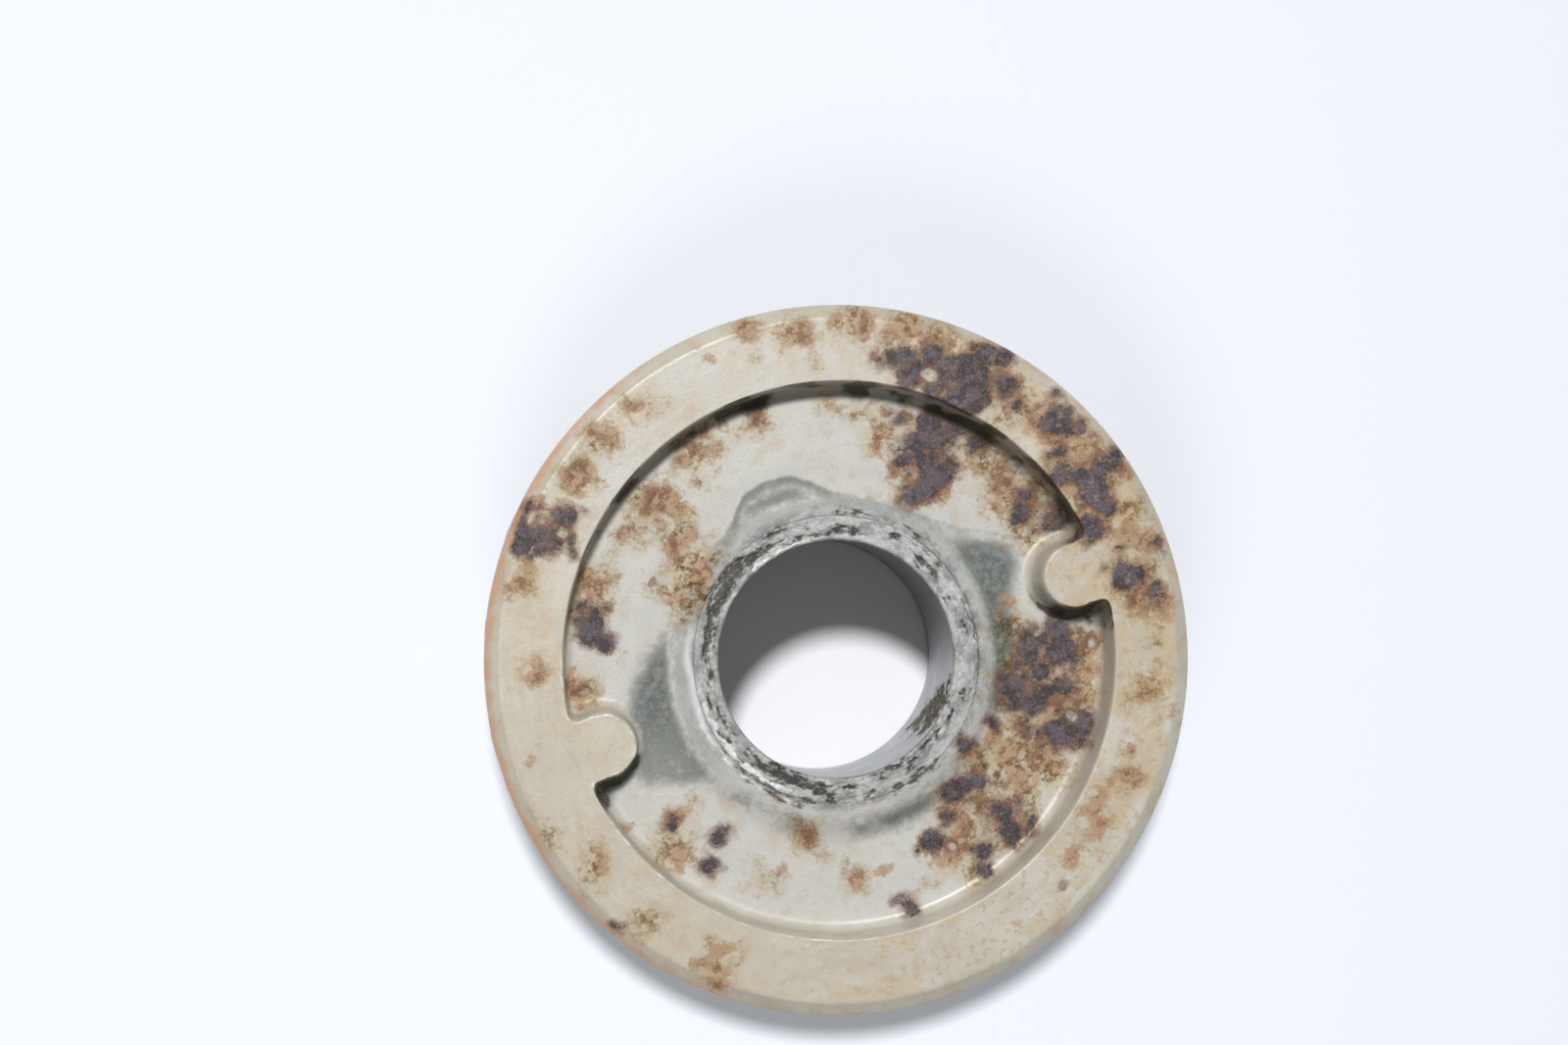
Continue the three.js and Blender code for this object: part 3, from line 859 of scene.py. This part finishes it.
def casting_profile():
    """The half section, anticlockwise from the rear mouth of the bore, and the number of
    its first and last row on the recessed face."""
    underside = BACK_Z - UNDERSIDE_RISE
    side_r = FLANGE_R - SIDE_DRAFT
    mouth = (HOLE_R + 0.1, 0.0)
    boss_end = (BOSS_R - BOSS_CHAMFER, 0.0)
    boss_side = (BOSS_R, BOSS_CHAMFER)
    fillet_centre = (BOSS_TOP_R + BOSS_FILLET, underside - BOSS_FILLET)
    rear_edge_centre = (side_r - REAR_EDGE_R, BACK_Z + REAR_EDGE_R)
    rows = line((HOLE_R, 0.08), mouth, 1)
    rows += line(mouth, boss_end, 8)
    rows += line(boss_end, boss_side, 3)
    rows += line(boss_side, (BOSS_TOP_R, fillet_centre[1]), 7)
    rows += arc(fillet_centre, BOSS_FILLET, BOSS_FILLET, 180, 90, 5)
    rows += line((fillet_centre[0] + 0.8, underside), (rear_edge_centre[0], BACK_Z), 16)
    rows += arc(rear_edge_centre, REAR_EDGE_R, REAR_EDGE_R, -90, 0, 5)
    rows += line((side_r + 0.05, BACK_Z + 2.4), (FLANGE_R, FACE_Z - 1.3), 4)
    rows += arc((FLANGE_R - 0.6, FACE_Z - 1.3), 0.6, 0.6, 0, 60, 4)
    bevel_end = (RIM_FLAT_R + 0.08, FACE_Z - 0.07)
    rows += line((FLANGE_R - 0.42, FACE_Z - 0.7), bevel_end, 4)
    rows += [bevel_end, (RIM_FLAT_R, FACE_Z - 0.025)]
    first = len(rows)
    face_r = np.concatenate((
        [RIM_FLAT_R - 0.12],
        np.linspace(RIM_FLAT_R - 0.4, 31.0, 17, endpoint=False),
        np.linspace(31.0, 29.0, 24, endpoint=False),
        np.linspace(29.0, 23.2, 31, endpoint=False),
        np.linspace(23.2, COLLAR_FOOT_R, 13, endpoint=False),
        np.linspace(COLLAR_FOOT_R, HOLE_R + 0.2, 26),
        [HOLE_R + 0.04, HOLE_R + 0.02],
    ))
    rows += [(r, FACE_Z) for r in face_r]
    last = len(rows)
    rows += [(HOLE_R, LAND_Z - 0.02), (HOLE_R, LAND_Z - 0.06)]
    rows += line((HOLE_R, LAND_Z - 2.0), (HOLE_R, 2.0), 3)
    return rows, first, last


def make_casting():
    profile, first, last = casting_profile()
    grid = revolve(profile, angle_columns(plain_step=0.8, lug_step=0.28, lug_half=10.5))
    face = grid[first:last]
    face[..., 2] = face_height(face[..., 0], face[..., 1])
    normals = grid_normals(grid)
    radius, angle = polar(grid)
    z = grid[..., 2]
    inside = inside_recess(grid[..., 0], grid[..., 1])
    on_rows = np.zeros(grid.shape[:2])
    on_rows[first:last] = 1.0
    on_rim = on_rows * (inside < 0)

    rear = rear_spots(REAR_STAIN_SEED)
    uneven = warped(grid, 0.75, 2.2, 3)
    scab = edge_distance(uneven, face_spots(SCABS, SPECK_SEED) + rear[::2])
    rust = edge_distance(uneven, face_spots(RUSTS, SPECK_SEED + 1) + rear)
    tea = edge_distance(warped(grid, 1.1, 3.6, 13), face_spots(TEAS, SPECK_SEED + 2) + rear)
    craters = [p for p in face_spots(PITS, SPECK_SEED + 3) if p[3] > SMALLEST_PIT_R]
    pit = edge_distance(warped(grid, 0.55, 1.3, 9), craters)

    burr_glint, painted_highlight = bright_fields(grid, inside)
    burr_glint = on_rows * burr_glint
    painted_shade, grime = dark_fields(grid, normals, inside)
    rub, worn = rub_fields(grid)
    edge = smoothstep(radius, FLANGE_R - 1.2, FLANGE_R - 0.2)
    edge = edge * smoothstep(z, FACE_Z - 3.0, FACE_Z - 1.0)
    pale = on_rim * sector(angle, 122, 0.6, 0.95)
    outside = (inside < 0) * (z > BACK_Z + 1)

    # Distances to stains are in millimetres, and the rest are shares. The bare metal around
    # the sleeve is torn in patches, calm where unscored, and paler where it is low.
    fields = {
        "scab": scab,
        "rust": rust,
        "tea": tea,
        "pit": pit,
        "rub": rub * on_rows * smoothstep(inside, 0.3, 1.6),
        "bare": on_rows * smoothstep(radius, 19.6, 17.0),
        "matt": smoothstep(radius, 24.0, 21.0),
        "torn": gall_distance(grid),
        "dull": around(angle, DULL, 1) * smoothstep(radius, 17.0, 15.8) + 0.2,
        "floor": on_rows * np.maximum(smoothstep(inside, 0.6, 1.6), 0.7 * pale),
        "warm": 0.8 * outside * sector(angle, 228, 0.0, 0.9),
        "painted_shade": on_rows * painted_shade,
        "burr_glint": burr_glint,
        "painted_highlight": on_rows * painted_highlight,
        "calm": smoothstep(radius, 16.2, 17.2),
        "low": on_rows * sector(angle, 264, 0.6, 0.95) * smoothstep(radius, 20.5, 18.8),
        "freckle": on_rim * (0.25 + 0.5 * sector(angle, -20, 0.0, 0.8)),
        "edge": edge * (0.3 + 0.7 * sector(angle, 185, 0.3, 0.85)),
        "grime": grime,
    }

    # Relief: crusts stand up a little and are rough, pits sink in, the casting is uneven.
    lift = 0.07 * smoothstep(scab, 0.3, -0.5) * (0.6 + noise(grid, 0.7, 41, octaves=2))
    lift -= 0.13 * smoothstep(pit, 0.25, -0.2)
    lift -= 0.03 * smoothstep(rust, 0.2, -0.8) * (0.5 + noise(grid, 0.9, 43))
    lift += 0.02 * noise(grid, 4.0, 45, octaves=3)
    lift += 0.1 * burr_glint - WEAR * worn * on_rows * smoothstep(radius, 16.2, 17.6)
    lift *= smoothstep(radius, HOLE_R + 0.05, HOLE_R + 0.5)
    grid = grid + normals * lift[..., None]
    grid[..., 2] = np.clip(grid[..., 2], 0.0, FACE_Z + PROUD)
    reach = polar(grid)[0]
    grid[..., :2] *= np.minimum(1, FLANGE_R / np.maximum(reach, 1))[..., None]

    obj = grid_object("casting_finished", grid, fields, casting_material())
    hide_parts(CASTING_NODE)
    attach(obj, BODY)
    return obj


def sleeve_profile():
    """The half section, anticlockwise from the rear mouth of the bore."""
    corner = 0.1
    edge = BORE_FRONT_EDGE
    rows = line((BORE_R + BORE_REAR_CHAMFER, 0.0), (SLEEVE_R - corner, 0.0), 4)
    rows += line((SLEEVE_R - corner, 0.0), (SLEEVE_R, corner), 2)
    rows += line((SLEEVE_R, corner), (SLEEVE_R, LAND_Z - 0.04), 3)
    rows += [(SLEEVE_R, LAND_Z - 0.04), (SLEEVE_R, LAND_Z - 0.02), (SLEEVE_R - 0.02, LAND_Z)]
    rows += line((SLEEVE_R - 0.04, LAND_Z), (BORE_R + edge, LAND_Z), 28)
    rows += arc((BORE_R + edge, LAND_Z - edge), edge, edge, 90, 180, 5)
    rows += line((BORE_R, LAND_Z - 0.6), (BORE_R, LAND_Z - 6.0), 16)
    rows += line((BORE_R, LAND_Z - 6.0), (BORE_R, BORE_REAR_CHAMFER), 8)
    rows += line((BORE_R, BORE_REAR_CHAMFER), (BORE_R + BORE_REAR_CHAMFER, 0.0), 2)
    return rows


def make_sleeve():
    grid = revolve(sleeve_profile(), np.radians(np.arange(0, 360, 0.5)))
    normals = grid_normals(grid)
    radius, angle = polar(grid)
    end = (grid[..., 2] > LAND_Z - BORE_FRONT_EDGE - 0.02) * 1.0

    torn = gall_distance(grid)
    wall_rust = [
        (*from_polar(BORE_R, turned(angle_seen)), LAND_Z - depth, size / 2)
        for angle_seen, depth, size in BORE_SPOTS
    ]

    # Burrs painted near white as glints on both edges of the worn land, and the dark seam around
    # it.
    ragged = noise(around_place(grid), 1.1, 59, octaves=3)
    jagged = noise(grid, 0.5, 67, octaves=2)
    outer = band(radius - SLEEVE_R + 0.35 + 0.9 * ragged, 0.24)
    outer = outer * sector(angle, 222, 0.8, 0.95)
    inner = band(radius - BORE_R - 0.22 - 0.5 * ragged - 0.2 * jagged, 0.15)
    inner = inner * sector(angle, 128, 0.87, 0.96)
    burr_glint = end * np.maximum(outer, inner) * smoothstep(ragged, -0.4, 0.0)
    wander = 0.4 * noise(grid, 1.8, 65) + 0.3 * jagged
    seam = band(radius - SLEEVE_R + 0.25 + wander, 0.12) * sector(angle, 22, 0.68, 0.88)
    fields = {
        "end": end,
        "torn": torn + burr_glint,
        "dull": around(angle, DULL, 1),
        "shade": sector(angle, 75, -0.1, 0.8),
        "burr_glint": burr_glint,
        "calm": 0 * radius,
        "low": 0 * radius,
        "rust": edge_distance(warped(grid, 0.6, 1.4, 55), wall_rust),
        "seam": end * seam * smoothstep(noise(grid, 1.0, 57, octaves=3), -0.35, 0.1),
    }
    lift = 0.035 * noise(grid, 0.8, 61, octaves=3) + 0.05 * burr_glint
    lift -= 0.06 * smoothstep(torn, 0.15, -0.25)
    lift *= end * smoothstep(radius, SLEEVE_R - 0.02, SLEEVE_R - 0.4)
    lift = lift + 0.01 * noise(grid, 2.0, 63)
    grid = grid + normals * lift[..., None]
    grid[..., 2] = np.clip(grid[..., 2], 0.0, LAND_Z + PROUD)

    obj = grid_object("sleeve_finished", grid, fields, sleeve_material())
    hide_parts(SLEEVE_NODE)
    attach(obj, BODY)
    return obj


# -------- floor, lights, camera

FLOOR_GAP = 0.02                  # keeps the ground clear of the rear end face
FLOOR_RADIUS_M = 4.0
FLOOR_COLOUR = (0.83, 0.86, 0.915, 1)
BORE_FLOOR_R = HOLE_R + 1.1       # the ground seen through the bore is a disc of its own
# Darker than the ground: painted shade in the bore; its lamp is brighter to make up for it.
BORE_FLOOR_COLOUR = (0.45, 0.43, 0.42, 1)

LAMP_DISTANCE = 1000
BORE_TINT = (0.89, 0.94, 1.0)
SKY_COLOUR = (0.94, 0.97, 1.0, 1)
SKY_STRENGTH = 0.23

CAMERA_LENS = 88                  # on a sensor 36 mm wide
CAMERA_YAW_DEG = 7.26             # how far it looks towards the view's right
CAMERA_PLACE = (-59.3, 15.1, 415.5)

RIGHT = Vector((*from_polar(1, turned(0)), 0))
UP = Vector((*from_polar(1, turned(90)), 0))
AXIS = Vector((0, 0, 1))
FACE_CENTRE = AXIS * FACE_Z * MM


def seen(right, up, out):
    """A point given in millimetres along the view's right and up and out of the face."""
    return FACE_CENTRE + (RIGHT * right + UP * up + AXIS * out) * MM


def floor_material(name, colour):
    g = Graph(name)
    g.shader.inputs["Base Color"].default_value = colour
    g.shader.inputs["Roughness"].default_value = 0.7
    g.shader.inputs["Specular IOR Level"].default_value = 0.2
    return g.material


def floor_piece(name, rings, colour):
    """A flat ring between two radii in metres, or a disc of one radius, on the ground."""
    mesh = bpy.data.meshes.new(name)
    steps = np.linspace(0, 2 * math.pi, 128, endpoint=False)
    drop = -FLOOR_GAP * MM
    verts = [(*from_polar(r, a), drop) for r in rings for a in steps]
    count = len(steps)
    if len(rings) == 1:
        faces = [list(range(count))]
    else:
        faces = [
            (i, count + i, count + (i + 1) % count, (i + 1) % count) for i in range(count)
        ]
    mesh.from_pydata(verts, [], faces)
    mesh.materials.append(floor_material(name, colour))
    obj = in_scene(name, mesh)
    return obj


def make_floor():
    """The ground, and the round patch of it under the bore, which is lit on its own."""
    split = BORE_FLOOR_R * MM
    outer = floor_piece("floor", (split, FLOOR_RADIUS_M), FLOOR_COLOUR)
    inner = floor_piece("floor_in_bore", (split,), BORE_FLOOR_COLOUR)
    return outer, inner


def make_lamp(name, azimuth, zenith, size, power, lit, distance=LAMP_DISTANCE, tint=(1, 1, 1)):
    """A round soft lamp aimed at the face, which lights only some objects. Azimuth is
    anticlockwise from the view's right, zenith is from the bore axis, and both are in
    degrees. Distance is in millimetres, size in metres and power in watts."""
    a, t = math.radians(azimuth), math.radians(zenith)
    lamp = bpy.data.lights.new(name, "AREA")
    lamp.shape = "DISK"
    lamp.size = size
    lamp.energy = power
    lamp.color = tint
    obj = in_scene(name, lamp)
    out, flat = distance * math.cos(t), distance * math.sin(t)
    obj.location = seen(*from_polar(flat, a), out)
    obj.rotation_mode = "QUATERNION"
    obj.rotation_quaternion = (FACE_CENTRE - obj.location).to_track_quat("-Z", "Y")
    obj.visible_camera = False
    receivers = bpy.data.collections.new(f"lit_by_{name}")
    for piece in lit:
        receivers.objects.link(piece)
    obj.light_linking.receiver_collection = receivers


def make_lights(hub, floor, floor_in_bore):
    """One key light from above. The real hub leans towards the viewer, so its shadow is
    short on the ground and long inside the bore, and each gets its own copy of the key. A
    weak fill from the lower left shades the ground past the rim's upper right, and another
    from straight above lifts the shadow in the bore."""
    make_lamp("key_hub", azimuth=108, zenith=22.5, size=0.13, power=8.7, lit=hub)
    make_lamp("key_floor", azimuth=122, zenith=14, size=0.11, power=7.9, lit=[floor])
    make_lamp(
        "fill_floor", azimuth=250, zenith=40, size=0.2, power=0.42, lit=[floor], distance=450
    )
    make_lamp(
        "key_bore", azimuth=107, zenith=34, size=0.13, power=24, lit=[floor_in_bore],
        tint=BORE_TINT,
    )
    make_lamp("fill_bore", azimuth=0, zenith=0, size=0.1, power=0.9, lit=[floor_in_bore])
    world = bpy.data.worlds.new("studio")
    world.use_nodes = True
    sky = world.node_tree.nodes["Background"]
    sky.inputs["Color"].default_value = SKY_COLOUR
    sky.inputs["Strength"].default_value = SKY_STRENGTH
    bpy.context.scene.world = world
    bpy.context.scene.view_settings.view_transform = "Standard"


def make_camera():
    """Looks almost straight into the recess, from a little to the view's left."""
    yaw = math.radians(CAMERA_YAW_DEG)
    lens = bpy.data.cameras.new("camera")
    lens.sensor_width = 36
    lens.lens = CAMERA_LENS
    lens.clip_start = 0.01
    camera = in_scene("camera", lens)
    back = AXIS * math.cos(yaw) - RIGHT * math.sin(yaw)
    across = RIGHT * math.cos(yaw) + AXIS * math.sin(yaw)
    axes = Matrix((across, UP, back)).transposed().to_4x4()
    camera.matrix_world = Matrix.Translation(seen(*CAMERA_PLACE)) @ axes
    bpy.context.scene.camera = camera


make_camera()
outer_floor, inner_floor = make_floor()
hub_pieces = [make_casting(), make_sleeve()]
make_lights(hub_pieces, outer_floor, inner_floor)
